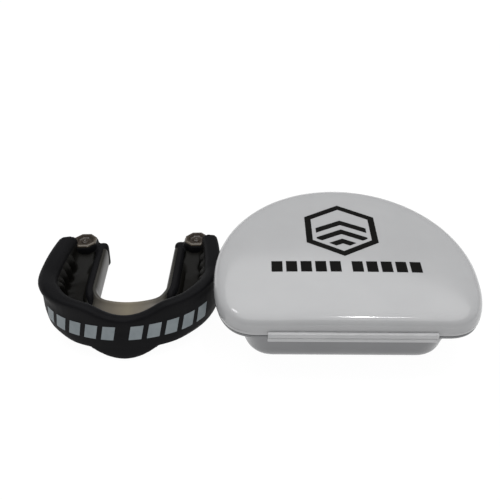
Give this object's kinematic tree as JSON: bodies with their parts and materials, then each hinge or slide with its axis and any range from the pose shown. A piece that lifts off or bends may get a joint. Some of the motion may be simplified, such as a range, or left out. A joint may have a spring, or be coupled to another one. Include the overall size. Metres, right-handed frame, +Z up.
{
  "type": "mouthguard with case",
  "caption": "U-shaped gel-lined sports mouthguard lying beside its D-shaped snap case with a living-hinge lid.",
  "frame": {"origin": "centre of the case's flat foot, on the table", "axes": "+Z up; +X along the straight hinge side, the longest extent; +Y towards the case's rounded back; the mouthguard lies on the -X side"},
  "size_m": [0.1496, 0.075, 0.0281],
  "materials": {
    "white_plastic": "glossy moulded white polypropylene",
    "hinge_plastic": "thin flexing white polypropylene",
    "black_ink": "black pad print, satin",
    "black_rubber": "matte black thermoplastic rubber",
    "smoky_gel": "smoky translucent gel",
    "key_gel": "smoky gel, satin, eight-sided",
    "grey_ink": "grey pad print, matte"
  },
  "bodies": {
    "case_bottom": {"case_base": "white_plastic", "hinge_base_leaf": "white_plastic"},
    "case_top": {"case_lid": "white_plastic", "hinge_lid_leaf": "white_plastic", "hinge_web": "hinge_plastic", "lid_bar_print": "black_ink", "lid_emblem_print": "black_ink"},
    "mouthguard": {"guard_shell": "black_rubber", "gel_liner": "smoky_gel", "left_gel_key": "key_gel", "right_gel_key": "key_gel", "guard_bar_print": "grey_ink"}
  },
  "joints": [
    {"name": "lid_hinge", "type": "hinge", "parent": "case_bottom", "child": "case_top", "pos_m": [0, -0.0369, 0.0207], "axis": [1, 0, 0], "range_deg": [0, 180], "deforming": ["hinge_web"]},
    {"name": "guard_slide", "type": "slide", "parent": "case_bottom", "child": "mouthguard", "axis": [-1, 0, 0], "range_m": [0, 0.06]}
  ]
}
